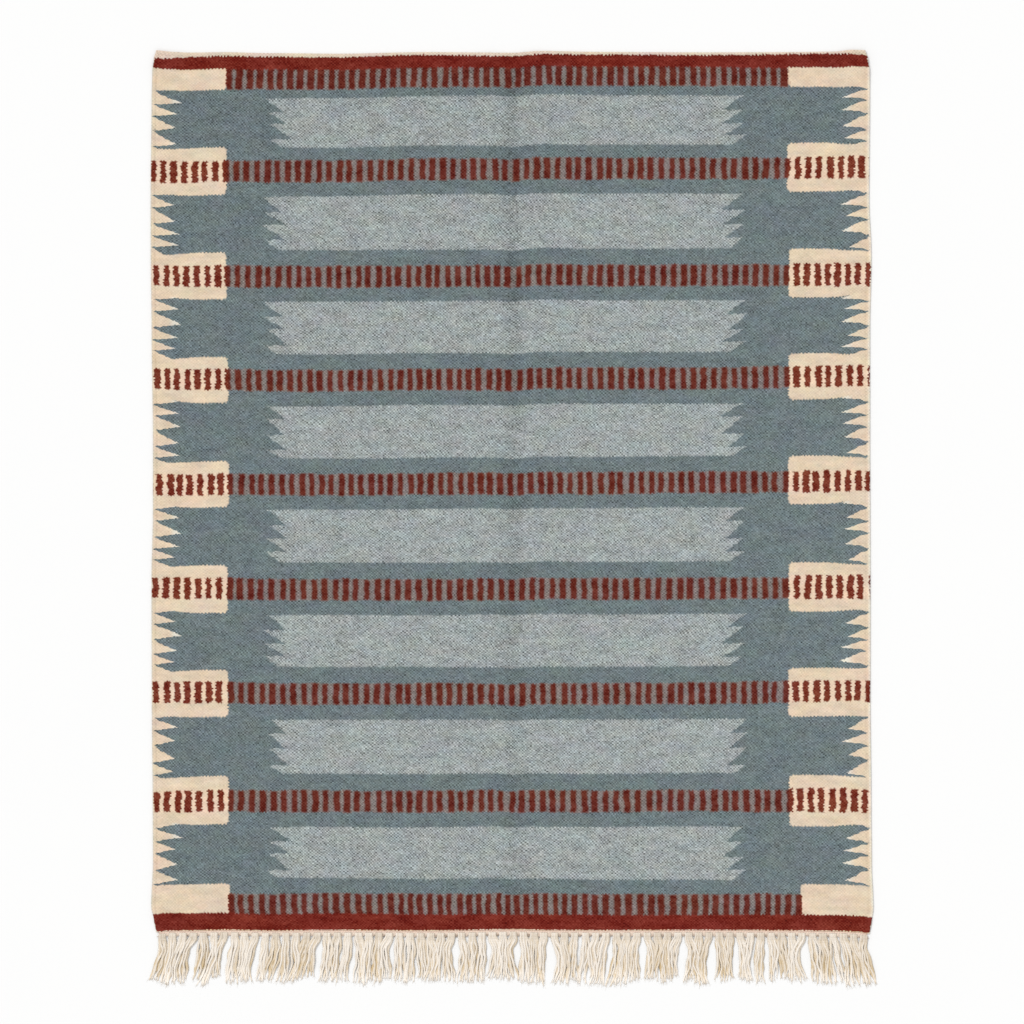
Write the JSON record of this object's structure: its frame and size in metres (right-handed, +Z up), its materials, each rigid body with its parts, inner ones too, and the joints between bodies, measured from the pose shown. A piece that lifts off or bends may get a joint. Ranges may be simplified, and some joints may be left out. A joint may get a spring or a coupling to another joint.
{
  "type": "kilim rug",
  "caption": "Flat-woven rectangular rug in bands of slate blue, pale blue, brick red and cream, lying flat, with loose cotton fringe along its foot.",
  "frame": {"origin": "middle of the whole rug, fringe included, on the floor that it lies on", "axes": "+Z up; +X across the width; +Y along the length towards the plain hem, so the fringe is at -Y"},
  "size_m": [1.616, 2.0896, 0.0076],
  "materials": {
    "woven_wool": "matte flat weave in slate blue, pale blue, brick red and cream wool",
    "cotton_warp": "matte undyed twisted cotton"
  },
  "bodies": {
    "root": {"kilim_cloth": "woven_wool", "warp_fringe": "cotton_warp"}
  },
  "joints": []
}
